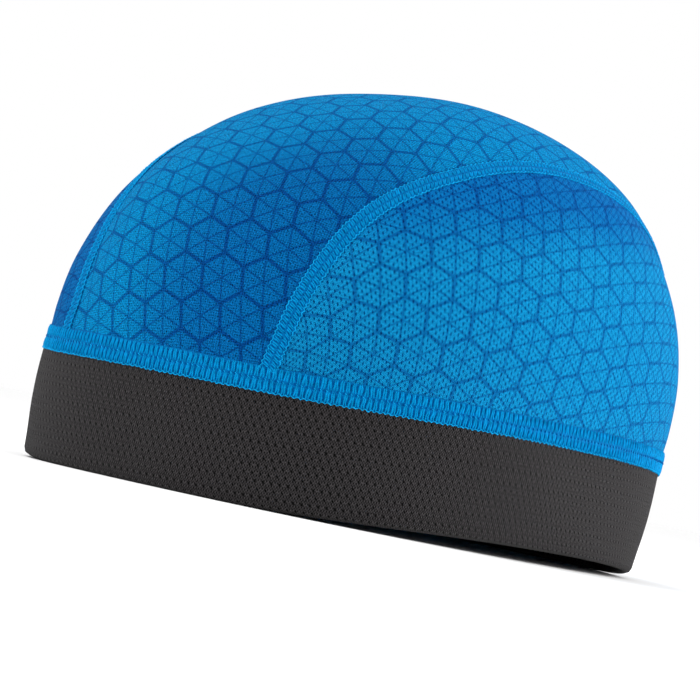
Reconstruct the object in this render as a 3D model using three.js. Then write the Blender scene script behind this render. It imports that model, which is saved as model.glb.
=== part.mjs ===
// A close-fitting knit skull cap: a crown of three panels over a doubled headband.
// Millimetres. +Z is up, the wearer faces -Y and the wearer's left is +X. The rim rests on z = 0.
import * as THREE from 'three';

// Driving sizes
const CAP_HEIGHT = 125.5;
const RIM_SEAM_LOW = 30.5;
const RIM_SEAM_WIDTH = 7;
const PANEL_SEAM_WIDTH = 5;
const SEAM_THICKNESS = 1;
const CLOTH = 1.2;
const BAND_THICKNESS = 2.2;
const CLEAR = 0.3;
const JOINT_GAP = 0.4;

// The rim arches up over each ear and is level where it rests, in front and behind.
const EAR_ARCH = 4;
const REST_HALF_WIDTH = 30;

// Level sections through the cap, from the rim to the top: how far forward and back each one
// reaches, where it is widest, and half its width there.
const SECTIONS = [
  { height: 0, front: -100.0, middle: 0.0, back: 94.0, half: 79.7 },
  { height: 30.5, front: -99.7, middle: 0.0, back: 98.4, half: 80.4 },
  { height: 59, front: -95.0, middle: 0.9, back: 101.0, half: 79.2 },
  { height: 85.5, front: -81.8, middle: 2.4, back: 93.6, half: 71.1 },
  { height: 106.5, front: -55.3, middle: 5.0, back: 77.1, half: 57.4 },
  { height: 120, front: -24.2, middle: 8.6, back: 49.4, half: 33.4 },
  { height: 125.5, front: 13.2, middle: 13.2, back: 13.2, half: 0.0 },
];

// How square a section is: 2 is an ellipse. Both ends round out to an ellipse at the top.
const FRONT_SQUARENESS = 2.32;
const BACK_SQUARENESS = 2.05;

// The two seams between the panels run from front to back. Sweep is the angle in degrees about the
// cap's cross axis, 0 in front and 180 behind, and out is the distance from the middle plane.
const SEAM_LINE = [
  { sweep: 0, out: 36.5 },
  { sweep: 34, out: 42.0 },
  { sweep: 60, out: 49.0 },
  { sweep: 90, out: 53.8 },
  { sweep: 115, out: 53.7 },
  { sweep: 140, out: 50.0 },
  { sweep: 180, out: 44.0 },
];
const SEAM_SWEEP_FIRST = 3.2;
const SEAM_SWEEP_LAST = 176.8;

// Facets
const RING_STEPS = 72;
const SWEEP_STEPS = 36;
const ACROSS_STEPS = 10;
const SIDE_COLUMNS = 28;
const SIDE_ROWS = 8;
const SEAM_STEPS = 42;
const SIDE_TIP_HEIGHT = 3;

// Heights worked out from the driving sizes
const RIM_SEAM_TOP = RIM_SEAM_LOW + RIM_SEAM_WIDTH;
const JOINT_HEIGHT = (RIM_SEAM_LOW + RIM_SEAM_TOP) / 2;
const BAND_HEIGHT = JOINT_HEIGHT - JOINT_GAP / 2;
const CROWN_LOW = JOINT_HEIGHT + JOINT_GAP / 2;

// Smooth curve through the rows of a table, at one value of its key column
function smooth(table, key, column, at) {
  const last = table.length - 1;
  const slope = (i) => {
    const before = table[Math.max(i - 1, 0)];
    const after = table[Math.min(i + 1, last)];
    return (after[column] - before[column]) / (after[key] - before[key]);
  };
  let i = 0;
  while (i < last - 1 && table[i + 1][key] < at) i += 1;
  const low = table[i];
  const high = table[i + 1];
  const span = high[key] - low[key];
  const t = (at - low[key]) / span;
  const bend = (1 - t) * (slope(i) * span * t * (1 - t) + low[column] * (1 + 2 * t) * (1 - t));
  return bend + t * t * (high[column] * (3 - 2 * t) - slope(i + 1) * span * (1 - t));
}

// The dome's sections are blended by climb, the angle up a quarter circle, so the top comes out round.
const DOME_LOW = SECTIONS[1].height;
const climbOf = (height) => {
  const share = (height - DOME_LOW) / (CAP_HEIGHT - DOME_LOW);
  return Math.asin(THREE.MathUtils.clamp(share, 0, 1)) / (Math.PI / 2);
};
const DOME = SECTIONS.slice(1).map((row) => ({ ...row, climb: climbOf(row.height) }));

function sectionAt(height) {
  const climb = climbOf(height);
  const section = {};
  for (const column of ['front', 'middle', 'back', 'half']) {
    const rise = height / DOME_LOW;
    section[column] = height < DOME_LOW
      ? THREE.MathUtils.lerp(SECTIONS[0][column], SECTIONS[1][column], rise)
      : smooth(DOME, 'climb', column, climb);
  }
  section.frontPower = THREE.MathUtils.lerp(FRONT_SQUARENESS, 2, climb);
  section.backPower = THREE.MathUtils.lerp(BACK_SQUARENESS, 2, climb);
  return section;
}

// Point of the outer surface at a turn about +Z, 0 at the wearer's left and -90 degrees in front
function ringPoint(turn, height) {
  const section = sectionAt(height);
  const ahead = Math.sin(turn) < 0;
  const power = ahead ? section.frontPower : section.backPower;
  const reach = ahead ? section.middle - section.front : section.back - section.middle;
  const across = Math.sign(Math.cos(turn)) * Math.abs(Math.cos(turn)) ** (2 / power);
  const along = Math.sign(Math.sin(turn)) * Math.abs(Math.sin(turn)) ** (2 / power);
  return new THREE.Vector3(section.half * across, section.middle + reach * along, height);
}

// Below zero inside the cap, above zero outside
function level(point) {
  if (point.z >= CAP_HEIGHT) return 1;
  const section = sectionAt(point.z);
  const along = point.y - section.middle;
  const ahead = along < 0;
  const power = ahead ? section.frontPower : section.backPower;
  const reach = ahead ? section.middle - section.front : section.back - section.middle;
  const share = Math.abs(point.x / section.half) ** power + Math.abs(along / reach) ** power;
  return share - 1;
}

// Point of the outer surface at a sweep in degrees and a distance out from the middle plane
function fanPoint(sweep, out) {
  const angle = THREE.MathUtils.degToRad(sweep);
  const ray = new THREE.Vector3(0, -Math.cos(angle), Math.sin(angle));
  const start = new THREE.Vector3(out, 0, CROWN_LOW);
  let near = 0;
  let far = 2 * CAP_HEIGHT;
  for (let i = 0; i < 40; i += 1) {
    const half = (near + far) / 2;
    if (level(start.clone().addScaledVector(ray, half)) < 0) near = half;
    else far = half;
  }
  return start.addScaledVector(ray, near);
}

// Direction square to a surface given by two values, pointing away from the inside of the cap
function outward(surface, a, b, stepA, stepB) {
  const alongA = surface(a + stepA, b).sub(surface(a - stepA, b));
  const alongB = surface(a, b + stepB).sub(surface(a, b - stepB));
  const normal = alongA.cross(alongB).normalize();
  const from = surface(a, b).sub(new THREE.Vector3(0, 0, CROWN_LOW));
  return normal.dot(from) < 0 ? normal.negate() : normal;
}
const ringOutward = (turn, height) => {
  const at = Math.max(height, DOME_LOW * 0.1);
  return outward(ringPoint, turn, at, 0.01, 0.5);
};
const fanOutward = (sweep, out) => outward(fanPoint, sweep, out, 0.5, 0.5);

const seamOut = (sweep) => smooth(SEAM_LINE, 'sweep', 'out', sweep);

// Lifts the rim into its arch over each ear. The lift fades out towards the top of the cap.
function settle(point) {
  const past = Math.max(Math.abs(point.x) - REST_HALF_WIDTH, 0);
  const share = past / (SECTIONS[0].half - REST_HALF_WIDTH);
  const fade = 1 - point.z / CAP_HEIGHT;
  point.z += EAR_ARCH * share * share * fade * fade;
  return point;
}

// Closed mesh from points and triangles, turned so that its faces point out
function solid(points, triangles) {
  const settled = points.map((point) => settle(point.clone()));
  const [a, b, c] = [new THREE.Vector3(), new THREE.Vector3(), new THREE.Vector3()];
  let volume = 0;
  for (const [i, j, k] of triangles) {
    volume += a.copy(settled[i]).dot(b.copy(settled[j]).cross(c.copy(settled[k])));
  }
  const faces = volume < 0 ? triangles.map(([i, j, k]) => [i, k, j]) : triangles;
  const geometry = new THREE.BufferGeometry().setFromPoints(settled);
  geometry.setIndex(faces.flat());
  geometry.computeVertexNormals();
  return geometry;
}

const quad = (a, b, c, d) => [[a, b, c], [a, c, d]];

// Cloth of even thickness from a grid of outer points and the directions square to them
function clothSolid(outer, normals) {
  const rows = outer.length;
  const columns = outer[0].length;
  const points = outer.flat();
  const inner = points.map((point, n) => point.clone().addScaledVector(normals.flat()[n], -CLOTH));
  const at = (row, column) => row * columns + column;
  const under = rows * columns;
  const triangles = [];
  for (let row = 0; row < rows - 1; row += 1) {
    for (let column = 0; column < columns - 1; column += 1) {
      const corners = [at(row, column), at(row, column + 1), at(row + 1, column + 1), at(row + 1, column)];
      triangles.push(...quad(...corners));
      triangles.push(...quad(...corners.map((corner) => corner + under).reverse()));
    }
  }
  const edge = [];
  for (let column = 0; column < columns - 1; column += 1) edge.push(at(0, column));
  for (let row = 0; row < rows - 1; row += 1) edge.push(at(row, columns - 1));
  for (let column = columns - 1; column > 0; column -= 1) edge.push(at(rows - 1, column));
  for (let row = rows - 1; row > 0; row -= 1) edge.push(at(row, 0));
  edge.forEach((from, n) => {
    const to = edge[(n + 1) % edge.length];
    triangles.push(...quad(from, from + under, to + under, to));
  });
  return solid([...points, ...inner], triangles);
}

// Solid through a run of equal sections, closed into a ring or capped at both ends
function runSolid(sections, ring) {
  const count = sections[0].length;
  const at = (run, corner) => (run % sections.length) * count + (corner % count);
  const triangles = [];
  const runs = ring ? sections.length : sections.length - 1;
  for (let run = 0; run < runs; run += 1) {
    for (let corner = 0; corner < count; corner += 1) {
      triangles.push(...quad(at(run, corner), at(run, corner + 1), at(run + 1, corner + 1), at(run + 1, corner)));
    }
  }
  for (let corner = 1; corner < count - 1 && !ring; corner += 1) {
    triangles.push([0, corner + 1, corner]);
    triangles.push([at(runs, 0), at(runs, corner), at(runs, corner + 1)]);
  }
  return solid(sections.flat(), triangles);
}

// Ring round the head from an outline of heights and distances off the outer surface
function ringSolid(outline) {
  const sections = [];
  for (let step = 0; step < RING_STEPS; step += 1) {
    const turn = (step / RING_STEPS) * 2 * Math.PI;
    sections.push(outline.map(({ height, off }) => {
      const flatOutward = ringOutward(turn, height).setZ(0).normalize();
      return ringPoint(turn, height).addScaledVector(flatOutward, off);
    }));
  }
  return runSolid(sections, true);
}

// Headband: doubled cloth, folded at the rim, with a narrow level face to rest on
function headbandSolid() {
  const inside = -BAND_THICKNESS;
  return ringSolid([
    { height: BAND_HEIGHT, off: 0 },
    { height: BAND_HEIGHT / 2, off: 0 },
    { height: 1.2, off: 0 },
    { height: 0.3, off: -0.25 },
    { height: 0, off: -0.6 },
    { height: 0, off: inside + 0.6 },
    { height: 0.3, off: inside + 0.25 },
    { height: 1.2, off: inside },
    { height: BAND_HEIGHT / 2, off: inside },
    { height: BAND_HEIGHT, off: inside },
  ]);
}

// Flat seam over the joint between headband and crown
function rimSeamSolid() {
  const proud = CLEAR + SEAM_THICKNESS;
  const shoulder = CLEAR + SEAM_THICKNESS / 2;
  return ringSolid([
    { height: RIM_SEAM_LOW, off: CLEAR },
    { height: RIM_SEAM_LOW, off: shoulder },
    { height: RIM_SEAM_LOW + 1, off: proud },
    { height: RIM_SEAM_TOP - 1, off: proud },
    { height: RIM_SEAM_TOP, off: shoulder },
    { height: RIM_SEAM_TOP, off: CLEAR },
  ]);
}

// Middle panel of the crown, from front to back between the two seams
function centrePanelSolid() {
  const outer = [];
  const normals = [];
  for (let row = 0; row <= SWEEP_STEPS; row += 1) {
    const sweep = (row / SWEEP_STEPS) * 180;
    const reach = seamOut(sweep) - JOINT_GAP / 2;
    const outs = Array.from({ length: ACROSS_STEPS + 1 }, (_, n) => reach * (2 * n / ACROSS_STEPS - 1));
    outer.push(outs.map((out) => fanPoint(sweep, out)));
    normals.push(outs.map((out) => levelEdge(fanOutward(sweep, out), sweep)));
  }
  return clothSolid(outer, normals);
}

// The panel's lower edges lie level on the joint, so their cloth is measured level too.
function levelEdge(normal, sweep) {
  return sweep === 0 || sweep === 180 ? normal.setZ(0).normalize() : normal;
}

// Whether a point lies past the seam line, on the side panel
function pastSeam(point) {
  const sweep = THREE.MathUtils.radToDeg(Math.atan2(point.z - CROWN_LOW, -point.y));
  return Math.abs(point.x) > seamOut(sweep) + JOINT_GAP / 2;
}

// Height at which the seam crosses the surface at one turn on the wearer's left
function seamHeight(turn) {
  let low = CROWN_LOW;
  let high = CAP_HEIGHT - 0.01;
  if (!pastSeam(ringPoint(turn, low))) return low;
  for (let i = 0; i < 40; i += 1) {
    const half = (low + high) / 2;
    if (pastSeam(ringPoint(turn, half))) low = half;
    else high = half;
  }
  return low;
}

// Turn at which the side panel is down to its blunt tip, looking from the side to the front or back
function tipTurn(towards) {
  let inside = 0;
  let outside = towards * Math.PI / 2;
  for (let i = 0; i < 40; i += 1) {
    const half = (inside + outside) / 2;
    if (seamHeight(half) > CROWN_LOW + SIDE_TIP_HEIGHT) inside = half;
    else outside = half;
  }
  return inside;
}

// Side panel of the crown. Side is 1 for the wearer's left and -1 for the right. Its columns crowd
// towards the two tips, where the seam runs almost upright.
function sidePanelSolid(side) {
  const first = tipTurn(-1);
  const last = tipTurn(1);
  const outer = [];
  const normals = [];
  for (let column = 0; column <= SIDE_COLUMNS; column += 1) {
    const share = (1 - Math.cos(Math.PI * column / SIDE_COLUMNS)) / 2;
    const turn = THREE.MathUtils.lerp(first, last, share);
    const top = seamHeight(turn);
    const line = [];
    const lineNormals = [];
    for (let row = 0; row <= SIDE_ROWS; row += 1) {
      const climb = THREE.MathUtils.lerp(climbOf(CROWN_LOW), climbOf(top), row / SIDE_ROWS);
      const height = DOME_LOW + (CAP_HEIGHT - DOME_LOW) * Math.sin(climb * Math.PI / 2);
      const normal = ringOutward(turn, height);
      if (row === 0) normal.setZ(0).normalize();
      line.push(ringPoint(turn, height).multiply(new THREE.Vector3(side, 1, 1)));
      lineNormals.push(normal.multiply(new THREE.Vector3(side, 1, 1)));
    }
    outer.push(line);
    normals.push(lineNormals);
  }
  return clothSolid(outer, normals);
}

// Flat seam over the joint between two panels
function panelSeamSolid(side) {
  const halfWidth = PANEL_SEAM_WIDTH / 2;
  const proud = CLEAR + SEAM_THICKNESS;
  const shoulder = CLEAR + SEAM_THICKNESS / 2;
  const outline = [
    { across: -halfWidth, off: CLEAR },
    { across: -halfWidth, off: shoulder },
    { across: 0.8 - halfWidth, off: proud },
    { across: halfWidth - 0.8, off: proud },
    { across: halfWidth, off: shoulder },
    { across: halfWidth, off: CLEAR },
  ];
  const along = (sweep) => fanPoint(sweep, seamOut(sweep));
  const sections = [];
  for (let step = 0; step <= SEAM_STEPS; step += 1) {
    const sweep = THREE.MathUtils.lerp(SEAM_SWEEP_FIRST, SEAM_SWEEP_LAST, step / SEAM_STEPS);
    const normal = fanOutward(sweep, seamOut(sweep));
    const forward = along(sweep + 0.5).sub(along(sweep - 0.5)).normalize();
    const across = forward.cross(normal).normalize();
    sections.push(outline.map((corner) => along(sweep)
      .addScaledVector(across, corner.across)
      .addScaledVector(normal, corner.off)
      .multiply(new THREE.Vector3(side, 1, 1))));
  }
  return runSolid(sections, false);
}

// Materials
const crownCloth = new THREE.MeshStandardMaterial({ color: 0x0a86cc, roughness: 0.7, metalness: 0 });
const sideMesh = new THREE.MeshStandardMaterial({ color: 0x0a90d8, roughness: 0.75, metalness: 0 });
const seamThread = new THREE.MeshStandardMaterial({ color: 0x1c9cea, roughness: 0.6, metalness: 0 });
const bandMesh = new THREE.MeshStandardMaterial({ color: 0x2d2a2b, roughness: 0.85, metalness: 0 });

// One named piece, kept with its own origin at the height where it starts
function piece(name, geometry, material, height) {
  geometry.translate(0, 0, -height);
  const mesh = new THREE.Mesh(geometry, material);
  mesh.name = name;
  mesh.position.set(0, 0, height);
  return mesh;
}

const crown = new THREE.Group();
crown.add(piece('crown_centre_panel', centrePanelSolid(), crownCloth, CROWN_LOW));
crown.add(piece('crown_left_panel', sidePanelSolid(1), sideMesh, CROWN_LOW));
crown.add(piece('crown_right_panel', sidePanelSolid(-1), sideMesh.clone(), CROWN_LOW));
crown.add(piece('left_panel_seam', panelSeamSolid(1), seamThread, CROWN_LOW));
crown.add(piece('right_panel_seam', panelSeamSolid(-1), seamThread.clone(), CROWN_LOW));

const skullCap = new THREE.Group();
skullCap.add(piece('headband', headbandSolid(), bandMesh, 0));
skullCap.add(piece('rim_seam', rimSeamSolid(), seamThread.clone(), RIM_SEAM_LOW));
skullCap.add(crown);

export default skullCap;
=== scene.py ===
import math
from dataclasses import dataclass

import bmesh
import bpy
import numpy as np
from mathutils import Matrix, Vector, noise


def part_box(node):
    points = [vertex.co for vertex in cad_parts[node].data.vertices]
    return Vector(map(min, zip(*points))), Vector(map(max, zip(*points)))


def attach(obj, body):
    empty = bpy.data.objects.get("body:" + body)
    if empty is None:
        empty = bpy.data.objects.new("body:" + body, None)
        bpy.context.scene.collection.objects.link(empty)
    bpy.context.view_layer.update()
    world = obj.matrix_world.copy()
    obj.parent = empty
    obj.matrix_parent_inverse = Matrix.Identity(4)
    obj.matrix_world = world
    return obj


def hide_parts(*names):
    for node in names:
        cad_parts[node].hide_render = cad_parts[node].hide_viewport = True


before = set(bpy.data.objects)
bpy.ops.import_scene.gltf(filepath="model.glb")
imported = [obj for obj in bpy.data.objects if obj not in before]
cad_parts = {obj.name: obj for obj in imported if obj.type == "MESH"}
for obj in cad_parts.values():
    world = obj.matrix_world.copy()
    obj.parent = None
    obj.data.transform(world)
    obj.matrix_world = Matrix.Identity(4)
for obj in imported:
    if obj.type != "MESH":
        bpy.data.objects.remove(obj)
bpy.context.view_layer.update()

# The cap's form, in millimetres. The wearer faces -Y and the wearer's left is +X.
MM = 0.001
CAP_HEIGHT = 125.5
RIM_SEAM_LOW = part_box("rim_seam")[0].z / MM
RIM_SEAM_WIDTH = 7.0
PANEL_SEAM_WIDTH = 5.0
EAR_ARCH = 4.0
REST_HALF_WIDTH = 30.0
JOINT_HEIGHT = RIM_SEAM_LOW + RIM_SEAM_WIDTH / 2
CROWN_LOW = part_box("crown_centre_panel")[0].z / MM
HALF_JOINT_GAP = CROWN_LOW - JOINT_HEIGHT
INNER_POINT = np.array([0, 0, CROWN_LOW - 1])

# Level sections from the rim to the top
SECTION_HEIGHT = np.array([0, 30.5, 59, 85.5, 106.5, 120, 125.5])
SECTION = {
    "front": np.array([-100.0, -99.7, -95.0, -81.8, -55.3, -24.2, 13.2]),
    "middle": np.array([0.0, 0.0, 0.9, 2.4, 5.0, 8.6, 13.2]),
    "back": np.array([94.0, 98.4, 101.0, 93.6, 77.1, 49.4, 13.2]),
    "half": np.array([79.7, 80.4, 79.2, 71.1, 57.4, 33.4, 0.0]),
}
FRONT_SQUARENESS = 2.32
BACK_SQUARENESS = 2.05

# Where the seams between the panels run: distance out from the middle at each sweep in degrees
SEAM_SWEEP = np.array([0, 34, 60, 90, 115, 140, 180.0])
SEAM_OUT = np.array([36.5, 42.0, 49.0, 53.8, 53.7, 50.0, 44.0])

# Cloth: its thickness, how deep and how wide it dips beside a seam, the share of that depth by
# which it stands out between seams, and its soft ripples
CLOTH_THICKNESS = 0.9
SEAM_TUCK = 1.1
SEAM_TUCK_REACH = 9.0
STAND_OUT = 0.35
RIPPLE = 0.55
RIPPLE_LENGTH = 34.0
CENTRE_SEED = 3.0
SIDE_SEED = 11.0
BAND_SEED = 5.0
SIDE_TIP_HEIGHT = 1.5

# Headband: where its ends are joined, its fold at the rim and its soft swell and waves
BAND_TOP = JOINT_HEIGHT - HALF_JOINT_GAP
BAND_JOIN_TURN = math.radians(126)
FOLD_RADIUS = 1.5
BAND_SWELL = 0.5
BAND_WAVE = 1.0
BAND_WAVE_LENGTH = 38.0

# How far from the rim seam, a panel seam or the rim each takes to reach its full depth
TUCK_RIM_REACH = 12
RIPPLE_RIM_REACH = 10
RIPPLE_SEAM_REACH = 6
RELIEF_RIM_REACH = 8
BAND_WAVE_REACH = 10

# Squares of each sheet, across and along, and the shares of a panel's length between which its
# middle line is upright on the flat cut
CENTRE_GRID = (72, 190)
SIDE_GRID = (170, 66)
BAND_GRID = (400, 56)
CENTRE_UPRIGHT = (0.0, 0.35)
SIDE_UPRIGHT = (0.0, 0.8)
UNWRAP_ROUNDS = 12

# Rounds of halving in a search, and steps to either side that give a surface's direction
SURFACE_ROUNDS = 34
SEAM_ROUNDS = 40
RING_STEPS = (0.005, 0.2)
FAN_STEPS = (0.5, 0.5)
HIGHEST_SECTION = CAP_HEIGHT - 1e-6
HIGHEST_SEAM = CAP_HEIGHT - 0.01
TINY = 1e-9

# Points along each line that is measured, and the distances within which vertices merge: where
# the headband's ends meet, between two stitches, and in a seam laid on the cap
TIP_POINTS = 2000
BAND_POINTS = 721
RIM_SEAM_POINTS = 2001
PANEL_SEAM_POINTS = 1501
BAND_MERGE = 0.01
STITCH_MERGE = 0.01
SEAM_MERGE = 0.02


@dataclass
class Stitch:
    """One stitch of a flat seam, in millimetres, with leans in degrees.

    Places across the seam are counted from its middle line. Its threads lie in an upper and a
    lower row, with two strands in each row.
    """

    pitch: float  # length along the seam
    width: float  # of the pressed cloth
    ground: float  # half the pressed cloth's thickness
    rise: float  # half a strand's thickness
    row: float  # from the middle line to the middle of each row
    lower_shift: float  # how far along the lower row is moved, as a share of the pitch
    strand_gap: float  # from the middle of a pair of strands to each, as a share of the pitch
    rib_share: float  # width of a strand, as a share of the pitch
    rib_length: float  # length of a strand across the seam
    leans: tuple  # of the strands in the upper and in the lower row
    # the bright thread is partly a painted highlight
    waves: tuple  # places across the seam where a bright thread runs in waves
    # the dark gap between two stitches is painted shade
    slot: tuple  # width and length of the dark gap between two stitches
    marks: tuple  # the needle's marks: place, starting with a share of the pitch, and size


RIM_STITCH = Stitch(
    pitch=1.65, width=RIM_SEAM_WIDTH, ground=0.42, rise=0.3,
    row=1.7, lower_shift=0.0, strand_gap=0.18, rib_share=0.38, rib_length=3.35, leans=(6, 3),
    waves=(0.0, -3.35), slot=(0.3, 2.5),
    marks=(((0, 0, 0.42), (0.7, 0.78, 0.68)),),
)
PANEL_STITCH = Stitch(
    pitch=1.45, width=PANEL_SEAM_WIDTH, ground=0.3, rise=0.26,
    row=1.0, lower_shift=0.62, strand_gap=0.2, rib_share=0.34, rib_length=2.2, leans=(30, 22),
    waves=(2.3, -2.3), slot=(0.36, 1.7),
    marks=(((0, -2.85, 0.05), (0.85, 0.36, 0.32)), ((0.75, 0, 0.3), (0.34, 1.0, 0.46))),
)

# Both kinds of seam: how far the pressed cloth's middle lies off the surface, how far a pair of
# strands lean apart, and how far the dark gaps, painted shade, lie below them
GROUND_LIFT = 0.1
STRAND_LEAN = 3
SLOT_SINK = 0.04

# The bright thread, its lighter blue partly its own and partly a painted highlight: its width, how
# far it swings across and off the seam, and how high it lies as a share of the pressed cloth's half
# thickness
LOOPER_WIDTH = 0.37
LOOPER_SWING = 0.21
LOOPER_BOB = 0.14
LOOPER_HEIGHT = 0.8

# How many sides, rings and points the threads have
THREAD_SEGMENTS = 6
THREAD_RINGS = 5
GAP_RINGS = 4
GROUND_SIDES = 14
LOOPER_SIDES = 5
LOOPER_POINTS = 7

# How unevenly stitches lie along, across and off the seam, and over what length that changes.
# Without a seed, Blender's vector noise is another one in each run.
UNEVEN = (0.34, 0.24, 0.12)
UNEVEN_LENGTH = 1.5
UNEVEN_SEED = 1

# Sweeps at which a panel seam starts and ends, under the rim seam
SEAM_ENDS = (1.2, 178.8)

# Behind the ears the rim seam turns to a fuller braid. Its slant and its swell each start at a
# distance behind the middle and are full after a further reach.
BRAID_SLANT = 0.55
BRAID_SLANT_START = 15
BRAID_SLANT_REACH = 55
BRAID_SWELL = 0.5
BRAID_SWELL_START = 30
BRAID_SWELL_REACH = 60


# Form of the cap

def smooth(knots, values, at):
    """Cubic curve through the values, each slope taken from the values on both sides."""
    wide_knots = np.pad(knots, 1, mode="edge")
    wide_values = np.pad(values, 1, mode="edge")
    slopes = (wide_values[2:] - wide_values[:-2]) / (wide_knots[2:] - wide_knots[:-2])
    i = np.clip(np.searchsorted(knots, at) - 1, 0, len(knots) - 2)
    span = knots[i + 1] - knots[i]
    t = (at - knots[i]) / span
    start = (1 - t) ** 2 * (values[i] * (1 + 2 * t) + slopes[i] * span * t)
    return start + t**2 * (values[i + 1] * (3 - 2 * t) - slopes[i + 1] * span * (1 - t))


def climb_of(height):
    """Share of the quarter circle up the dome, 0 at its foot and 1 at the top."""
    foot = SECTION_HEIGHT[1]
    share = np.clip((height - foot) / (CAP_HEIGHT - foot), 0, 1)
    return np.arcsin(share) / (math.pi / 2)


def height_of(climb):
    """Height at a share of the quarter circle up the dome."""
    foot = SECTION_HEIGHT[1]
    return foot + (CAP_HEIGHT - foot) * np.sin(climb * math.pi / 2)


def section_at(height):
    """The section's reach forward and back, its middle and half width, and how square it is."""
    climb = climb_of(height)
    knots = climb_of(SECTION_HEIGHT[1:])
    rise = height / SECTION_HEIGHT[1]
    section = {}
    for column, values in SECTION.items():
        band = values[0] + (values[1] - values[0]) * rise
        section[column] = np.where(rise < 1, band, smooth(knots, values[1:], climb))
    section["front_power"] = FRONT_SQUARENESS + (2 - FRONT_SQUARENESS) * climb
    section["back_power"] = BACK_SQUARENESS + (2 - BACK_SQUARENESS) * climb
    return section


def ring_point(turn, height):
    """Points of the outer surface at a turn about +Z, 0 at the wearer's left."""
    turn, height = np.broadcast_arrays(turn, height)
    section = section_at(height)
    cosine, sine = np.cos(turn), np.sin(turn)
    power = np.where(sine < 0, section["front_power"], section["back_power"])
    ahead, behind = section["middle"] - section["front"], section["back"] - section["middle"]
    across = np.sign(cosine) * np.abs(cosine) ** (2 / power)
    along = np.sign(sine) * np.abs(sine) ** (2 / power)
    reach = np.where(sine < 0, ahead, behind)
    return np.stack([section["half"] * across, section["middle"] + reach * along, height], -1)


def inside(point):
    """Whether points lie inside the outer surface."""
    section = section_at(np.minimum(point[..., 2], HIGHEST_SECTION))
    along = point[..., 1] - section["middle"]
    power = np.where(along < 0, section["front_power"], section["back_power"])
    ahead, behind = section["middle"] - section["front"], section["back"] - section["middle"]
    reach = np.maximum(np.where(along < 0, ahead, behind), TINY)
    half = np.maximum(section["half"], TINY)
    share = np.abs(point[..., 0] / half) ** power + np.abs(along / reach) ** power
    return (share < 1) & (point[..., 2] < CAP_HEIGHT)


def fan_point(sweep, out):
    """Points of the outer surface at a sweep about the cross axis and a distance out."""
    sweep, out = np.broadcast_arrays(np.asarray(sweep, float), np.asarray(out, float))
    angle = np.radians(sweep)
    ray = np.stack([np.zeros_like(angle), -np.cos(angle), np.sin(angle)], -1)
    start = np.stack([out, np.zeros_like(out), np.full_like(out, CROWN_LOW)], -1)
    near, far = np.zeros_like(out), np.full_like(out, 2 * CAP_HEIGHT)
    for _ in range(SURFACE_ROUNDS):
        half = (near + far) / 2
        within = inside(start + ray * half[..., None])
        near, far = np.where(within, half, near), np.where(within, far, half)
    return start + ray * near[..., None]


def outward(surface, a, b, step_a, step_b):
    """Directions square to a surface, pointing away from the inside of the cap."""
    along_a = surface(a + step_a, b) - surface(a - step_a, b)
    along_b = surface(a, b + step_b) - surface(a, b - step_b)
    normal = np.cross(along_a, along_b)
    normal /= np.linalg.norm(normal, axis=-1, keepdims=True)
    away = surface(a, b) - INNER_POINT
    return normal * np.sign((normal * away).sum(-1, keepdims=True))


def seam_out(sweep):
    """Distance of the panel seam from the middle plane."""
    return smooth(SEAM_SWEEP, SEAM_OUT, sweep)


def settle(point):
    """Points after the rim has arched up over each ear."""
    past = np.maximum(np.abs(point[..., 0]) - REST_HALF_WIDTH, 0)
    share = past / (SECTION["half"][0] - REST_HALF_WIDTH)
    fade = np.clip(1 - point[..., 2] / CAP_HEIGHT, 0, 1)
    settled = point.copy()
    settled[..., 2] += EAR_ARCH * share**2 * fade**2
    return settled


def sweep_of(point):
    """Sweep of points about the cross axis, in degrees."""
    return np.degrees(np.arctan2(point[..., 2] - CROWN_LOW, -point[..., 1]))


def ripple(point, length, seed):
    """Soft uneven rise and fall of cloth, from -1 to 1."""
    offset = Vector((seed, -seed, seed / 2))
    return np.array([noise.noise(Vector(p) / length + offset) for p in point])


def ease_in(distance, reach):
    """0 at no distance, rising evenly to 1 at the reach."""
    return np.clip(distance / reach, 0, 1)


def crown_relief(point, seed):
    """How far the crown's cloth stands off its plain form: in at the seams, rippled between."""
    seam_gap = np.abs(np.abs(point[:, 0]) - seam_out(sweep_of(point)))
    rim_gap = point[:, 2] - CROWN_LOW
    tuck = np.exp(-((seam_gap / SEAM_TUCK_REACH) ** 2)) * ease_in(rim_gap, TUCK_RIM_REACH)
    ripples = ripple(point, RIPPLE_LENGTH, seed) * ease_in(rim_gap, RIPPLE_RIM_REACH)
    ripples *= ease_in(seam_gap, RIPPLE_SEAM_REACH)
    dip = SEAM_TUCK * (STAND_OUT - tuck) * ease_in(rim_gap, RELIEF_RIM_REACH)
    return dip + RIPPLE * ripples


def path_length(path):
    """Length along a path of points, up to each of them."""
    steps = np.linalg.norm(np.diff(path, axis=0), axis=1)
    return np.concatenate([[0], np.cumsum(steps)])


def ring_outward(turn, height):
    """Directions out of the surface at each turn and height."""
    return outward(ring_point, turn, height, *RING_STEPS)


def fan_outward(sweep, out):
    """Directions out of the surface at each sweep and distance out."""
    return outward(fan_point, sweep, out, *FAN_STEPS)


def level_outward(turn, height):
    """Level directions out from the cap at each turn."""
    level = ring_outward(turn, height) * [1, 1, 0]
    return level / np.linalg.norm(level, axis=-1, keepdims=True)


# Making pieces

def finished(name, mesh, material, node):
    """Object for a finished mesh, riding on the cap in place of its solid."""
    piece = bpy.data.objects.new(name, mesh)
    bpy.context.scene.collection.objects.link(piece)
    mesh.materials.append(material)
    for polygon in mesh.polygons:
        polygon.use_smooth = True
    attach(piece, "root")
    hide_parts(node)
    return piece


def mesh_from(shape, name):
    """Mesh of a bmesh, which is freed."""
    mesh = bpy.data.meshes.new(name)
    shape.to_mesh(mesh)
    shape.free()
    return mesh


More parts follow.
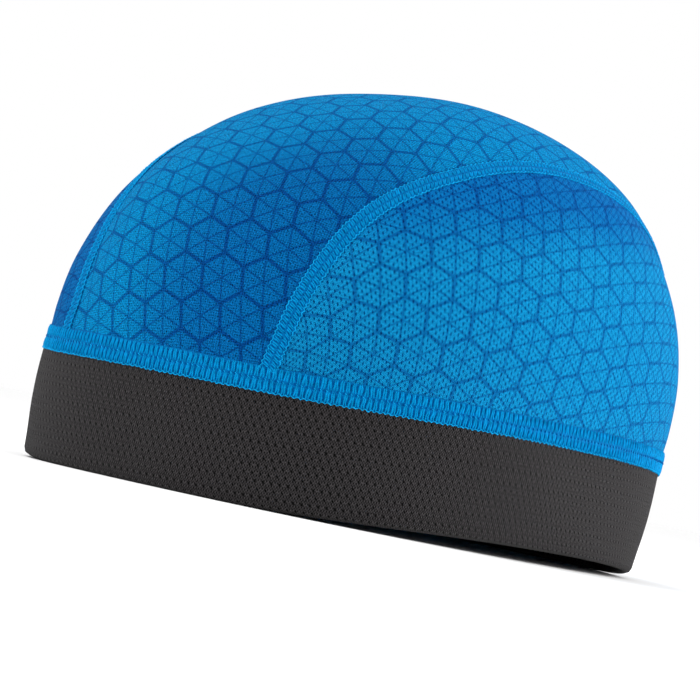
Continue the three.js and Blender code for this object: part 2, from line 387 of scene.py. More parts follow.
def grid(columns, rows):
    """A square of cloth, and how far across and along it each point lies, from 0 to 1."""
    shape = bmesh.new()
    bmesh.ops.create_grid(shape, x_segments=columns, y_segments=rows, size=0.5)
    shares = np.array([vertex.co[:2] for vertex in shape.verts]) + 0.5
    return shape, shares


def place(shape, points):
    """Moves every vertex of a bmesh to its point, given in millimetres."""
    for vertex, point in zip(shape.verts, points * MM):
        vertex.co = point


def nearest_share(shares, across, along):
    """Number of the vertex nearest to a place on the cloth."""
    return int(np.argmin(np.abs(shares - [across, along]).sum(1)))


def thicken(piece):
    """Gives cloth its thickness, inwards from the face that shows."""
    wall = piece.modifiers.new("thickness", "SOLIDIFY")
    wall.thickness = CLOTH_THICKNESS * MM
    wall.offset = -1
    wall.use_even_offset = True


def face_out(shape):
    """Turns open cloth so that its faces look away from the middle of the cap."""
    shape.normal_update()
    middle = Vector((0, 0, CROWN_LOW * MM))
    if sum(face.normal.dot(face.calc_center_median() - middle) for face in shape.faces) < 0:
        bmesh.ops.reverse_faces(shape, faces=shape.faces)


def unrolled(mesh):
    """Coordinates of the mesh's face corners on a flat sheet, at no set size or turn."""
    cloth = bpy.data.objects.new("cloth", mesh)
    bpy.context.scene.collection.objects.link(cloth)
    bpy.context.view_layer.objects.active = cloth
    cloth.select_set(True)
    mesh.uv_layers.new(name="cut")
    bpy.ops.object.mode_set(mode="EDIT")
    bpy.ops.mesh.select_all(action="SELECT")
    bpy.ops.uv.unwrap(
        method="MINIMUM_STRETCH", fill_holes=False, iterations=UNWRAP_ROUNDS, margin=0
    )
    bpy.ops.object.mode_set(mode="OBJECT")
    bpy.data.objects.remove(cloth)
    flat = np.zeros(len(mesh.loops) * 2)
    mesh.uv_layers["cut"].data.foreach_get("uv", flat)
    return flat.reshape(-1, 2)


def cut_flat(mesh, low, high):
    """Lays cloth out as it was cut, in millimetres and with the line from low to high upright.

    Gives the width, length and area of the flat cloth in metres.
    """
    flat = unrolled(mesh)
    corners = np.array([polygon.loop_indices[:] for polygon in mesh.polygons])
    first, second = (flat[corners[:, i + 2]] - flat[corners[:, i]] for i in (0, 1))
    doubled = first[:, 0] * second[:, 1] - first[:, 1] * second[:, 0]
    area = sum(polygon.area for polygon in mesh.polygons)
    size = math.sqrt(area * 2 / np.abs(doubled).sum()) / MM
    at = {loop.vertex_index: flat[loop.index] for loop in mesh.loops}
    up = (at[high] - at[low]) / np.linalg.norm(at[high] - at[low])
    across = np.sign(doubled.sum()) * np.array([up[1], -up[0]])
    laid = np.stack([(flat - at[low]) @ across, (flat - at[low]) @ up], -1) * size
    mesh.uv_layers["cut"].data.foreach_set("uv", laid.ravel())
    width, length = np.ptp(laid, axis=0) * MM
    return float(width), float(length), float(area)


def crown_panel(names, shape, shares, points, uprights, material):
    """A panel of the crown from its points, stretched by the headband's pull.

    Names are those of the piece, its solid and its material slot; the slot's name is not used.
    Uprights are the shares of its length between which its middle line is upright on the flat cut.
    """
    name, node, slot_name = names
    place(shape, settle(points))
    face_out(shape)
    low, high = (nearest_share(shares, 0.5, along) for along in uprights)
    mesh = mesh_from(shape, name)
    width, length, area = cut_flat(mesh, low, high)
    piece = finished(name, mesh, material, node)
    thicken(piece)


# Finishes

class Value:
    """A number in a material. Each sign between values adds a Math node."""

    def __init__(self, finish, socket):
        self.finish = finish
        self.socket = socket

    def __add__(self, other):
        return self.finish.math("ADD", self, other)

    def __sub__(self, other):
        return self.finish.math("SUBTRACT", self, other)

    def __rsub__(self, other):
        return self.finish.math("SUBTRACT", other, self)

    def __mul__(self, other):
        return self.finish.math("MULTIPLY", self, other)

    def __truediv__(self, other):
        return self.finish.math("DIVIDE", self, other)

    __radd__ = __add__
    __rmul__ = __mul__


class Finish:
    """A material under construction."""

    def __init__(self, name, roughness, sheen, gloss_tint=(1.0, 1.0, 1.0, 1.0)):
        self.material = bpy.data.materials.new(name)
        self.material.use_nodes = True
        self.tree = self.material.node_tree
        self.shader = self.tree.nodes["Principled BSDF"]
        self.shader.inputs["Roughness"].default_value = roughness
        self.shader.inputs["Specular IOR Level"].default_value = SPECULAR
        self.shader.inputs["Sheen Weight"].default_value = sheen
        self.shader.inputs["Sheen Roughness"].default_value = SHEEN_ROUGHNESS
        self.shader.inputs["Sheen Tint"].default_value = gloss_tint
        self.shader.inputs["Specular Tint"].default_value = gloss_tint

    def feed(self, socket, value):
        """Sets a socket to a plain value, or links it."""
        value = value.socket if isinstance(value, Value) else value
        if isinstance(value, bpy.types.NodeSocket):
            self.tree.links.new(value, socket)
        else:
            socket.default_value = value

    def node(self, kind, settings, sockets):
        """Outputs of a new node, its settings made before its sockets are set or linked."""
        made = self.tree.nodes.new(kind)
        for key, value in settings.items():
            setattr(made, key, value)
        for key, value in sockets.items():
            self.feed(made.inputs[key], value)
        return made.outputs

    def math(self, operation, *values):
        """Math node on numbers or values."""
        made = self.node("ShaderNodeMath", {"operation": operation}, dict(enumerate(values)))
        return Value(self, made[0])

    def least(self, a, b):
        """The smaller of two values."""
        return self.math("MINIMUM", a, b)

    def most(self, a, b):
        """The larger of two values."""
        return self.math("MAXIMUM", a, b)

    def size_of(self, a):
        """The value without its sign."""
        return self.math("ABSOLUTE", a)

    def distance(self, *parts):
        """Length of the line whose parts are given."""
        total = parts[0] * parts[0]
        for part in parts[1:]:
            total = total + part * part
        return self.math("SQRT", total)

    def wave(self, value, pitch):
        """Sine from -1 to 1 with a pitch."""
        return self.math("SINE", value * (2 * math.pi / pitch))

    def fade(self, value, start, end):
        """1 where the value is at start, easing to 0 at end."""
        sockets = {0: value, 1: start, 2: end, 3: 1.0, 4: 0.0}
        made = self.node("ShaderNodeMapRange", {"interpolation_type": "SMOOTHSTEP"}, sockets)
        return Value(self, made[0])

    def mix(self, share, plain, other):
        """Colour between two colours."""
        made = self.node("ShaderNodeMix", {"data_type": "RGBA"}, {0: share, 6: plain, 7: other})
        return made[2]

    def times(self, colour, tinge):
        """Colour multiplied by another colour or by a value."""
        settings = {"data_type": "RGBA", "blend_type": "MULTIPLY"}
        return self.node("ShaderNodeMix", settings, {0: 1.0, 6: colour, 7: tinge})[2]

    def turned(self, vector, turn, scale):
        """Vector scaled and then turned by some degrees."""
        sockets = {"Vector": vector, "Rotation": (0, 0, math.radians(turn)), "Scale": scale}
        return self.node("ShaderNodeMapping", {}, sockets)[0]

    def on_cloth(self, turn=0.0, scale=(1, 1, 1)):
        """Place on the flat cut cloth, in millimetres, turned by some degrees."""
        laid = self.node("ShaderNodeUVMap", {"uv_map": "cut"}, {})[0]
        return self.turned(laid, turn, scale)

    def parts(self, vector):
        """The three parts of a vector."""
        made = self.node("ShaderNodeSeparateXYZ", {}, {0: vector})
        return [Value(self, socket) for socket in made]

    def on_cap(self):
        """Place on the cap, in millimetres: to the wearer's left, behind and up."""
        return [part / MM for part in self.parts(self.node("ShaderNodeTexCoord", {}, {})["Object"])]

    def clouds(self, vector, size, detail):
        """Noise about 0.5 with blotches of a size in millimetres."""
        sockets = {"Vector": vector, "Scale": 1 / size, "Detail": detail}
        return Value(self, self.node("ShaderNodeTexNoise", {}, sockets)[0])

    def staggered(self, vector, across, along):
        """Offset from the nearest point of a lattice with every other row moved half a step."""
        u, v, _ = self.parts(vector)
        cells = []
        for shift in (0.0, 0.5):
            du = self.math("FRACT", u / across + shift) - 0.5
            dv = self.math("FRACT", v / along + shift) - 0.5
            cells.append((du * across, dv * along))
        (au, av), (bu, bv) = cells
        first = self.math("LESS_THAN", self.distance(au, av), self.distance(bu, bv))
        return first * au + (1 - first) * bu, first * av + (1 - first) * bv

    def show(self, colour, relief, depth):
        """Finished material with its colour and with a relief, whose depth is in millimetres."""
        self.feed(self.shader.inputs["Base Color"], colour)
        sockets = {"Strength": 1.0, "Distance": depth * MM, "Height": relief}
        bump = self.node("ShaderNodeBump", {}, sockets)["Normal"]
        self.feed(self.shader.inputs["Normal"], bump)
        return self.material


def paint(red, green, blue):
    """Linear colour from the usual 0 to 255 values."""
    shares = [part / 255 for part in (red, green, blue)]
    linear = [c / 12.92 if c < 0.04045 else ((c + 0.055) / 1.055) ** 2.4 for c in shares]
    return (*linear, 1.0)


@dataclass
class Lay:
    """How the print lies on the flat cloth, in degrees, and its tones."""

    turn: float  # of the hexagons
    pull: tuple  # direction in which the cloth's stretch has widened the print, and how much
    light: tuple  # colour of the ground where it isn't deep in tone
    line_tint: tuple  # what the outlines multiply the ground by
    spokes: float  # strength of the thin lines, where the outlines have 1


CENTRE_PRINT = Lay(
    turn=-15.0, pull=(144.0, 1.195), spokes=0.8,
    light=paint(7, 130, 189), line_tint=(0.7, 0.44, 0.62, 1.0),
)
SIDE_PRINT = Lay(
    turn=7.0, pull=(7.0, 1.16), spokes=0.9,
    light=paint(14, 130, 184), line_tint=(0.62, 0.53, 0.68, 1.0),
)
# Deeper blue: the print's deeper tone, and painted shade on the crown
DEEP_PRINT_AND_SHADE = paint(6, 98, 163)

# Width of a hexagon in millimetres, and how far from its middle a line is full and is gone
HEXAGON = 11.4
OUTLINE_FADE = (0.26, 0.74)
SPOKE_FADE = (0.13, 0.35)

# The centre panel is deepest in tone about this place, partly print and partly painted shade;
# painted shade lies along the side panels' tops, lower down towards the front. The edges of the
# deep tone stray by a haze.
DEEP_PLACE = (29.0, -92.0, 66.0)
DEEP_SQUEEZE = 1.55
DEEP_REACH = (26.0, 80.0)
CENTRE_HAZE = 10.0
SIDE_DEEP_HEIGHTS = (104.0, 84.0)
FRONT_DROP = 0.22
BROW_DEPTHS = (-60.0, -5.0)
SIDE_HAZE = 8.0
HAZE_SIZE = 45.0

# Eyelets: the step across and along the cloth, their shape, and how far from its middle an
# eyelet is full and is gone
SIDE_EYELETS = (2.2, 2.2)
SIDE_EYELET_SQUEEZE = (2.2, 0.84)
SIDE_EYELET_FADE = (0.3, 0.5)
EYELET_TURN = 3.0
HOLE_TINT = (0.22, 0.25, 0.45, 1.0)
BAND_EYELETS = (2.24, 4.12)
BAND_EYELET_SQUEEZE = 1.5
BAND_EYELET_SLANT = 0.7
BAND_EYELET_FADE = (0.32, 0.52)
BAND_EYELET_RELIEF = 0.8

# Knits: the step of their finest stitches, and the strengths of stitches and of fibres
CROWN_KNIT = (0.98, 0.34, 2.9)
CROWN_KNIT_TURN = 38
SIDE_KNIT = (SIDE_EYELETS[0] / 3, 0.34, 1.9)
BAND_STEP = BAND_EYELETS[0] / 3
BAND_KNIT = (BAND_STEP, 0.5, 1.3)
BAND_KNIT_SCALE = (1.0, 0.7, 1.0)
FIBRE_SIZE = 0.46
GRAIN_RELIEF = 0.5

# Shade of a cloth without its grain, and what the grain adds
CROWN_SHADE = (0.48, 1.04)
SIDE_SHADE = (0.53, 1.08)
BAND_SHADE = (0.0, 2.0)
DARKEST = 0.1

# The headband's wales, the paler stitches between the eyelets of a row, and the joined ends
BAND_BLACK = paint(45, 43, 44)
BAND_HOLE = paint(3, 3, 3)
BAND_WALES = 0.16
PALE_STITCHES = 0.34
PALE_ROW_FADE = (0.12, 0.34)
PALE_END_FADE = (0.5, 0.75)
JOIN_FADE = (0.2, 0.7)
JOIN_TONE = 0.6

# Seam threads: their colours, and the shade of thread with its streaks and uneven patches
THREAD_BLUE = paint(5, 136, 196)
# Edge thread: its own blue with a painted highlight
LOOPER_AND_HIGHLIGHT_BLUE = paint(14, 154, 214)
GROUND_BLUE = paint(3, 98, 160)
# Painted shade of the gaps between stitches, also the needle's dark marks
SHADE_AND_HOLE_BLUE = paint(2, 76, 138)
THREAD_SHADE = 0.2
STREAK_SHADE = 0.9
STREAK_SIZE = 0.34
STREAK_SCALE = (1.0, 0.22, 1.0)
PATCH_SHADE = 0.7
PATCH_SIZE = 1.5

# Gloss: its tint on all but the headband, and what every cloth and thread shares
GLOSS_BLUE = paint(10, 170, 255)
SPECULAR = 0.03
SHEEN_ROUGHNESS = 0.45


def printed(finish, lay, deep):
    """The print: its ground, deeper by a share of deeper print and painted shade, the hexagons'
    outlines and their spokes.
    """
    ground = finish.mix(deep, lay.light, DEEP_PRINT_AND_SHADE)
    way, wider = lay.pull
    laid = finish.turned(finish.on_cloth(-way), way + lay.turn, (1 / wider, 1, 1))
    u, v = finish.staggered(laid, HEXAGON, HEXAGON * math.sqrt(3))
    u, v = finish.size_of(u), finish.size_of(v) * (math.sqrt(3) / 2)
    to_outline = HEXAGON / 2 - finish.most(u, u * 0.5 + v)
    to_spoke = finish.least(u, finish.size_of(v - u * 0.5))
    outline = finish.fade(to_outline, *OUTLINE_FADE)
    spoke = finish.fade(to_spoke, *SPOKE_FADE)
    share = finish.most(outline, spoke * lay.spokes)
    return finish.mix(share, ground, finish.times(ground, lay.line_tint))


def knit(finish, vector, step, stitch, fuzz):
    """Grain of a knit, about 0.5, from even stitches and uneven fibres of given strengths."""
    u, v, _ = finish.parts(vector)
    stitches = finish.wave(u, step) * finish.wave(v, step)
    fibres = finish.clouds(vector, FIBRE_SIZE, detail=2.0) - 0.5
    return stitches * stitch + fibres * fuzz + 0.5


def haze(finish, vector, spread):
    """How far the edge of a tone strays, in millimetres, up to a spread to either side."""
    return finish.clouds(vector, HAZE_SIZE, detail=1.0) * (2 * spread) - spread


def shaded(finish, colour, grain, plain, strength):
    """Colour made darker and lighter by a knit's grain."""
    return finish.times(colour, finish.most(plain + grain * strength, DARKEST))


def crown_cloth():
    """Smooth sports knit with the print, deepest in tone over the wearer's left brow, partly print
    and partly painted shade.
    """
    finish = Finish("crown_knit", roughness=0.9, sheen=0.012, gloss_tint=GLOSS_BLUE)
    grain = knit(finish, finish.on_cloth(turn=CROWN_KNIT_TURN), *CROWN_KNIT)
    stray = haze(finish, finish.on_cloth(), CENTRE_HAZE)
    # Deeper tone about one place: partly print, partly painted shade
    across, behind, up = [part - middle for part, middle in zip(finish.on_cap(), DEEP_PLACE)]
    gone = finish.distance(across * DEEP_SQUEEZE, behind, up)
    colour = printed(finish, CENTRE_PRINT, finish.fade(gone + stray, *DEEP_REACH))
    return finish.show(shaded(finish, colour, grain, *CROWN_SHADE), grain, depth=0.3)


def side_cloth(name, brow_shade):
    """Eyelet mesh knit with the print, with painted shade along its top under the panel seam and,
    by a share, at the brow.
    """
    finish = Finish(name, roughness=0.9, sheen=0.012, gloss_tint=GLOSS_BLUE)
    on_cloth = finish.on_cloth(turn=EYELET_TURN)
    u, v = (
        part * squeeze
        for part, squeeze in zip(finish.staggered(on_cloth, *SIDE_EYELETS), SIDE_EYELET_SQUEEZE)
    )
    eyelet = finish.fade(finish.distance(u, v), *SIDE_EYELET_FADE)
    grain = knit(finish, on_cloth, *SIDE_KNIT)
    stray = haze(finish, on_cloth, SIDE_HAZE)
    # Painted shade: along the top, lower towards the front, and at the brow by a share
    _, behind, up = finish.on_cap()
    top = finish.fade(up - finish.least(behind, 0.0) * FRONT_DROP + stray, *SIDE_DEEP_HEIGHTS)
    brow = finish.fade(behind + stray, *BROW_DEPTHS)
    colour = printed(finish, SIDE_PRINT, finish.most(top, brow * brow_shade))
    holed = finish.mix(eyelet, colour, finish.times(colour, HOLE_TINT))
    relief = grain * GRAIN_RELIEF - eyelet
    return finish.show(shaded(finish, holed, grain, *SIDE_SHADE), relief, depth=0.45)


def band_cloth(around):
    """Black eyelet mesh with paler stitches between its slanted eyelets, joined at one place."""
    finish = Finish("band_mesh", roughness=0.85, sheen=0.07)
    on_cloth = finish.on_cloth()
    u, v = finish.staggered(on_cloth, *BAND_EYELETS)
    slanted = u * BAND_EYELET_SQUEEZE + v * BAND_EYELET_SLANT
    eyelet = finish.fade(finish.distance(slanted, v), *BAND_EYELET_FADE)
    in_row = finish.fade(finish.size_of(v), *PALE_ROW_FADE)
    between = in_row - in_row * finish.fade(finish.size_of(u), *PALE_END_FADE)
    along, _, _ = finish.parts(on_cloth)
    fibres = knit(finish, finish.on_cloth(scale=BAND_KNIT_SCALE), *BAND_KNIT)
    grain = fibres + finish.wave(along, BAND_STEP) * BAND_WALES + between * PALE_STITCHES
    join = finish.fade(finish.least(along, around - along), *JOIN_FADE)
    colour = finish.mix(finish.most(eyelet, join * JOIN_TONE), BAND_BLACK, BAND_HOLE)
    relief = grain * GRAIN_RELIEF - eyelet * BAND_EYELET_RELIEF - join
    return finish.show(shaded(finish, colour, grain, *BAND_SHADE), relief, depth=0.45)


def thread_finish(name, colour, depth):
    """Sewing thread, finely streaked across the seam and uneven from stitch to stitch."""
    finish = Finish(name, roughness=0.7, sheen=0.03, gloss_tint=GLOSS_BLUE)
    streaks = finish.clouds(finish.on_cloth(scale=STREAK_SCALE), STREAK_SIZE, detail=2.0)
    patches = finish.clouds(finish.on_cloth(), PATCH_SIZE, detail=1.0)
    shade = THREAD_SHADE + streaks * STREAK_SHADE + patches * PATCH_SHADE
    return finish.show(finish.times(colour, shade), streaks, depth)


# Crown panels

def centre_panel():
    """Middle panel, from the rim in front over the top to the rim behind."""
    shape, shares = grid(*CENTRE_GRID)
    sweep = shares[:, 1] * 180
    out = (2 * shares[:, 0] - 1) * (seam_out(sweep) - HALF_JOINT_GAP)
    points = fan_point(sweep, out)
    points += fan_outward(sweep, out) * crown_relief(points, CENTRE_SEED)[:, None]
    names = ("crown_centre_knit", "crown_centre_panel", "crown_knit")
    crown_panel(names, shape, shares, points, CENTRE_UPRIGHT, crown_cloth())


def seam_height(turn):
    """Height at which the seam crosses the surface at each turn on the wearer's left."""
    low = np.full_like(turn, CROWN_LOW)
    high = np.full_like(turn, HIGHEST_SEAM)
    for _ in range(SEAM_ROUNDS):
        half = (low + high) / 2
        point = ring_point(turn, half)
        on_side = point[:, 0] > seam_out(sweep_of(point)) + HALF_JOINT_GAP
        low, high = np.where(on_side, half, low), np.where(on_side, high, half)
    return low


def tip_turn(towards):
    """Turn at which the side panel has narrowed to its tip."""
    turns = np.linspace(0, towards * math.pi / 2, TIP_POINTS)
    tall = seam_height(turns) > CROWN_LOW + SIDE_TIP_HEIGHT
    return turns[np.flatnonzero(tall)[-1]]


def side_panel(side, name, node, brow_shade):
    """Side panel of eyelet mesh. Side is 1 for the wearer's left and -1 for the right.

    The way up each panel is shared out evenly in climb, so that its squares stay even.
    """
    shape, shares = grid(*SIDE_GRID)
    first, last = tip_turn(-1), tip_turn(1)
    turn = first + (last - first) * (1 - np.cos(math.pi * shares[:, 0])) / 2
    foot, top = climb_of(CROWN_LOW), climb_of(seam_height(turn))
    height = height_of(foot + (top - foot) * shares[:, 1])
    points = ring_point(turn, height)
    points += ring_outward(turn, height) * crown_relief(points, SIDE_SEED + side)[:, None]
    points[:, 0] *= side
    names = (name, node, "side_mesh")
    material = side_cloth(f"{name}_cloth", brow_shade)
    crown_panel(names, shape, shares, points, SIDE_UPRIGHT, material)


# Headband

def fold_line(share):
    """Height, and depth in from the outer face, at a share of the way round the fold.

    The way goes down the outside, round the fold at the rim and up the inside. Gives the whole
    way's length too.
    """
    straight = BAND_TOP - FOLD_RADIUS
    bend = math.pi * FOLD_RADIUS
    gone = share * (2 * straight + bend)
    angle = np.clip((gone - straight) / FOLD_RADIUS, 0, math.pi)
    down = np.minimum(gone, straight)
    up = np.maximum(gone - straight - bend, 0)
    height = BAND_TOP - down - FOLD_RADIUS * np.sin(angle) + up
    depth = FOLD_RADIUS * (1 - np.cos(angle))
    return height, depth, 2 * straight + bend


def headband():
    """Eyelet mesh folded double at the rim and joined end to end behind the right ear."""
    shape, shares = grid(*BAND_GRID)
    turn = BAND_JOIN_TURN + shares[:, 0] * 2 * math.pi
    height, depth, tall = fold_line(shares[:, 1])
    points = ring_point(turn, height)
    held = ease_in(height, BAND_WAVE_REACH) * ease_in(BAND_TOP - height, BAND_WAVE_REACH)
    swell = BAND_SWELL * np.sin(math.pi * np.clip(height / BAND_TOP, 0, 1))
    off = swell + BAND_WAVE * held * ripple(points, BAND_WAVE_LENGTH, BAND_SEED) - depth
    points += level_outward(turn, np.maximum(height, FOLD_RADIUS * 2)) * off[:, None]
    place(shape, settle(points))

    along = np.linspace(0, 1, BAND_POINTS)
    reached = path_length(ring_point(BAND_JOIN_TURN + along * 2 * math.pi, BAND_TOP / 2))
    flat = np.stack([np.interp(shares[:, 0], along, reached), -shares[:, 1] * tall], -1)
    cut = shape.loops.layers.uv.new("cut")
    for face in shape.faces:
        for loop in face.loops:
            loop[cut].uv = flat[loop.vert.index]
    bmesh.ops.remove_doubles(shape, verts=shape.verts, dist=BAND_MERGE * MM)
    bmesh.ops.recalc_face_normals(shape, faces=shape.faces)

    around = float(reached[-1])
    mesh = mesh_from(shape, "headband_mesh")
    piece = finished("headband_mesh", mesh, band_cloth(around), "headband")
    thicken(piece)
    tall * MM


# Seams: each stitch is made flat, repeated in a straight run and then laid on the cap.
# Along is +X, across is +Y, where the side panel or the crown lies, and off the cloth is +Z.

def bead(shape, centre, size, lean, rings):
    """A small rounded block of thread of a size along, across and off the seam."""
    made = bmesh.ops.create_uvsphere(
        shape, u_segments=THREAD_SEGMENTS, v_segments=rings, radius=0.5
    )
    upright = Matrix.Rotation(math.radians(90), 4, "X")
    leaning = Matrix.Rotation(math.radians(lean), 4, "Z")
    spot = Matrix.Translation(centre) @ leaning @ Matrix.Diagonal((*size, 1)) @ upright
    bmesh.ops.transform(shape, verts=made["verts"], matrix=spot)


def run(shape, line, width, rise, sides):
    """An oval length of thread or pressed cloth along a line, open at its ends."""
    ring = bmesh.ops.create_circle(shape, segments=sides, radius=0.5)["verts"]
    upright = Matrix.Rotation(math.radians(90), 4, "Y")
    spot = Matrix.Translation(line[0]) @ Matrix.Diagonal((1, width, rise, 1)) @ upright
    bmesh.ops.transform(shape, verts=ring, matrix=spot)
    edges = list(dict.fromkeys(edge for vertex in ring for edge in vertex.link_edges))
    for before, after in zip(line, line[1:]):
        grown = bmesh.ops.extrude_edge_only(shape, edges=edges)["geom"]
        new = [item for item in grown if isinstance(item, bmesh.types.BMVert)]
        edges = [item for item in grown if isinstance(item, bmesh.types.BMEdge)]
        bmesh.ops.translate(shape, verts=new, vec=Vector(after) - Vector(before))


def stitch_ground(shape, kind, pitch):
    """Pressed cloth under one stitch."""
    line = [(0, 0, GROUND_LIFT), (pitch, 0, GROUND_LIFT)]
    run(shape, line, kind.width, 2 * kind.ground, GROUND_SIDES)


def rows_of(kind):
    """Place across the seam, shift along it and lean of each row of threads."""
    return zip((kind.row, -kind.row), (0.0, kind.lower_shift), kind.leans)


def stitch_ribs(shape, kind, pitch):
    """Threads across one stitch, two side by side in each row."""
    for across, shift, lean in rows_of(kind):
        for strand in (-1, 1):
            centre = (pitch * (0.5 + shift + kind.strand_gap * strand), across, kind.ground)
            size = (pitch * kind.rib_share, kind.rib_length, 2 * kind.rise)
            bead(shape, centre, size, lean + STRAND_LEAN * strand, THREAD_RINGS)


def stitch_loopers(shape, kind, pitch):
    """One wave of the bright thread, partly a painted highlight, at each place across the seam that
    has it.
    """
    for middle in kind.waves:
        line = []
        for turn in np.linspace(0, 2 * math.pi, LOOPER_POINTS):
            across = middle + LOOPER_SWING * math.cos(turn)
            off = kind.ground * LOOPER_HEIGHT + LOOPER_BOB * math.sin(turn)
            line.append((pitch * turn / (2 * math.pi), across, off))
        run(shape, line, LOOPER_WIDTH, LOOPER_WIDTH, LOOPER_SIDES)


def stitch_slots(shape, kind, pitch):
    """Painted shade in the slots between the threads of two stitches, and the needle's dark marks.
    """
    width, length = kind.slot
    for across, shift, lean in rows_of(kind):
        size = (width, length, 2 * (kind.rise - SLOT_SINK))
        bead(shape, (pitch * shift, across, kind.ground), size, lean, GAP_RINGS)
    for (share, across, off), size in kind.marks:
        bead(shape, (pitch * share, across, off), size, kind.leans[0], GAP_RINGS)


def repeated(name, cell, pitch, count):
    """Mesh of one stitch repeated end to end."""
    single = bpy.data.objects.new(name, mesh_from(cell, name))
    bpy.context.scene.collection.objects.link(single)
    array = single.modifiers.new("run", "ARRAY")
    array.count = count
    array.use_relative_offset = False
    array.use_constant_offset = True
    array.constant_offset_displace = (pitch, 0, 0)
    array.use_merge_vertices = True
    array.merge_threshold = STITCH_MERGE
    ready = single.evaluated_get(bpy.context.evaluated_depsgraph_get())
    mesh = bpy.data.meshes.new_from_object(ready)
    bpy.data.objects.remove(single)
    return mesh


def lay(mesh, surface):
    """Bends a straight run onto the cap, a little unevenly, and closes its ends."""
    shape = bmesh.new()
    shape.from_mesh(mesh)
    cut = shape.loops.layers.uv.new("cut")
    for face in shape.faces:
        for loop in face.loops:
            loop[cut].uv = loop.vert.co[:2]
    flat = np.array([vertex.co[:] for vertex in shape.verts])
    stray = np.array([noise.noise_vector(Vector(p) / UNEVEN_LENGTH) for p in flat])
    place(shape, settle(surface(*(flat + stray * UNEVEN).T)))
    bmesh.ops.remove_doubles(shape, verts=shape.verts, dist=SEAM_MERGE * MM)
    bmesh.ops.holes_fill(shape, edges=shape.edges, sides=0)
    bmesh.ops.recalc_face_normals(shape, faces=shape.faces)
    shape.to_mesh(mesh)
    shape.free()


def rim_surface():
    """Surface that the rim seam lies on, and the length of its line."""
    turns = BAND_JOIN_TURN + np.linspace(0, 2 * math.pi, RIM_SEAM_POINTS)
    path = ring_point(turns, JOINT_HEIGHT)
    reached = path_length(path)

    def surface(along, across, off):
        behind = np.interp(along % reached[-1], reached, path[:, 1])
        slant = BRAID_SLANT * ease_in(behind - BRAID_SLANT_START, BRAID_SLANT_REACH)
        swell = BRAID_SWELL * ease_in(behind - BRAID_SWELL_START, BRAID_SWELL_REACH)
        braided = along + slant * np.abs(across)
        turn = np.interp(braided % reached[-1], reached, turns)
        raised = off + swell * (1 - (2 * across / RIM_SEAM_WIDTH) ** 2)
        out = level_outward(turn, np.full_like(turn, JOINT_HEIGHT))
        return ring_point(turn, JOINT_HEIGHT + across) + out * raised[:, None]

    return surface, float(reached[-1])


def panel_seam_surface(side):
    """Surface that a panel seam lies on, and the length of its line."""
    sweeps = np.linspace(*SEAM_ENDS, PANEL_SEAM_POINTS)
    path = fan_point(sweeps, seam_out(sweeps))
    reached = path_length(path)
    normals = fan_outward(sweeps, seam_out(sweeps))
    path += normals * crown_relief(path, CENTRE_SEED)[:, None]
    across_way = np.cross(np.gradient(path, axis=0), normals)
    across_way /= np.linalg.norm(across_way, axis=1, keepdims=True)

    def on_path(values, along):
        return np.stack([np.interp(along, reached, part) for part in values.T], -1)

    def surface(along, across, off):
        point = on_path(path, along) + on_path(normals, along) * off[:, None]
        point += on_path(across_way, along) * across[:, None]
        return point * [side, 1, 1]

    return surface, float(reached[-1])


def sewn(node, kind, surface, length, threads):
    """A seam, each of its parts made as one stitch, repeated and laid along the surface."""
    count = round(length / kind.pitch)
    pitch = length / count
    for part, (make, material) in threads.items():
        name = f"{node}_{part}"
        cell = bmesh.new()
        make(cell, kind, pitch)
        mesh = repeated(name, cell, pitch, count)
        lay(mesh, surface)
        finished(name, mesh, material, node)


def seams():
    """The rim seam and the two panel seams."""
    noise.seed_set(UNEVEN_SEED)
    threads = {
        "pressed_cloth": (stitch_ground, thread_finish("seam_cloth", GROUND_BLUE, depth=0.3)),
        "cross_threads": (stitch_ribs, thread_finish("seam_thread", THREAD_BLUE, depth=0.3)),
        "edge_threads": (stitch_loopers, thread_finish("seam_edge_thread", LOOPER_AND_HIGHLIGHT_BLUE, depth=0.2)),
        # Gaps: painted shade between stitches, and the needle's marks
        "gaps": (stitch_slots, thread_finish("seam_gap_shade_and_holes", SHADE_AND_HOLE_BLUE, depth=0.1)),
    }
    sewn("rim_seam", RIM_STITCH, *rim_surface(), threads)
    sewn("left_panel_seam", PANEL_STITCH, *panel_seam_surface(1), threads)
    sewn("right_panel_seam", PANEL_STITCH, *panel_seam_surface(-1), threads)


# Floor, light and camera: distances to and about the cap in millimetres, turns in degrees

IMAGE_SIZE = 700
FOCAL_PIXELS = 3711
SENSOR_WIDTH = 36.0
CAMERA_TURN = 38.2
CAMERA_ROLL = 11.8
CAMERA_DISTANCE = 1073
CAMERA_HEIGHT = 20
LOOK_AT = (-3.2, -8.1, 48.6)

# In metres
CLIP_END = 30
FLOOR_SIZE = 6.0
LIGHT_DISTANCE = 1.3
LIGHT_SIZE = (0.8, 0.9)

FLOOR_COLOUR = (0.98, 0.98, 0.98, 1)
FLOOR_ROUGHNESS = 0.9
SURROUND_COLOUR = (1, 1, 1, 1)


def looking_back(turn, rise):
    """Direction away from the cap at a turn and a rise, in radians, and what faces back."""
    away = Vector((math.sin(turn), -math.cos(turn), math.tan(rise))).normalized()
    return away, away.to_track_quat("Z", "Y").to_matrix().to_4x4()


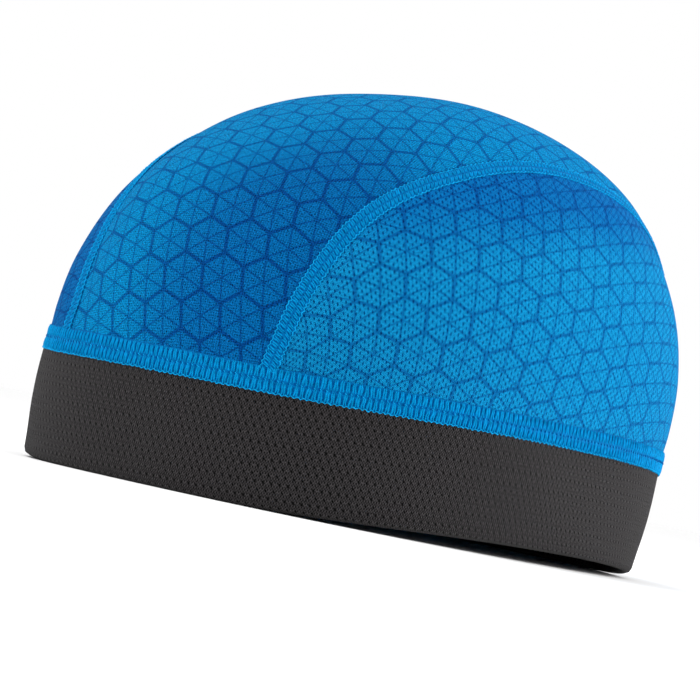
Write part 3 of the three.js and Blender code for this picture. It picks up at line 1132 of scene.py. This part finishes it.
def camera():
    """Camera at the photo's turn and roll, just above the floor."""
    lens = bpy.data.cameras.new("camera")
    lens.lens = FOCAL_PIXELS * SENSOR_WIDTH / IMAGE_SIZE
    lens.sensor_width = SENSOR_WIDTH
    lens.clip_end = CLIP_END
    eye = bpy.data.objects.new("camera", lens)
    bpy.context.scene.collection.objects.link(eye)
    rise = math.asin((CAMERA_HEIGHT - LOOK_AT[2]) / CAMERA_DISTANCE)
    away, facing = looking_back(math.radians(CAMERA_TURN), rise)
    spot = Matrix.Translation((Vector(LOOK_AT) + away * CAMERA_DISTANCE) * MM)
    eye.matrix_world = spot @ facing @ Matrix.Rotation(math.radians(CAMERA_ROLL), 4, "Z")
    bpy.context.scene.camera = eye


def floor():
    """Plain pale floor."""
    material = bpy.data.materials.new("floor")
    material.use_nodes = True
    shader = material.node_tree.nodes["Principled BSDF"]
    shader.inputs["Base Color"].default_value = FLOOR_COLOUR
    shader.inputs["Roughness"].default_value = FLOOR_ROUGHNESS
    shape = bmesh.new()
    bmesh.ops.create_grid(shape, x_segments=2, y_segments=2, size=FLOOR_SIZE)
    mesh = mesh_from(shape, "floor")
    mesh.materials.append(material)
    ground = bpy.data.objects.new("floor", mesh)
    bpy.context.scene.collection.objects.link(ground)


def softbox(name, turn, rise, power):
    """A large soft light facing the cap."""
    lamp = bpy.data.lights.new(name, "AREA")
    lamp.shape = "RECTANGLE"
    lamp.size, lamp.size_y = LIGHT_SIZE
    lamp.energy = power
    box = bpy.data.objects.new(name, lamp)
    bpy.context.scene.collection.objects.link(box)
    away, facing = looking_back(math.radians(turn), math.radians(rise))
    middle = Vector((0, 0, CAP_HEIGHT / 2)) * MM
    box.matrix_world = Matrix.Translation(middle + away * LIGHT_DISTANCE) @ facing


def lights():
    """Soft light from behind the wearer's left and from the front, and a white surround."""
    softbox("back_light", turn=138, rise=18, power=13)
    softbox("front_light", turn=-50, rise=62, power=8)
    world = bpy.data.worlds.new("surround")
    world.use_nodes = True
    world.node_tree.nodes["Background"].inputs["Color"].default_value = SURROUND_COLOUR
    bpy.context.scene.world = world
    bpy.context.scene.view_settings.view_transform = "Standard"


floor()
camera()
lights()
centre_panel()
# Painted shade at the brow: a little on the wearer's left panel, full on the right
side_panel(1, "crown_left_mesh", "crown_left_panel", brow_shade=0.1)
side_panel(-1, "crown_right_mesh", "crown_right_panel", brow_shade=1.0)
headband()
seams()
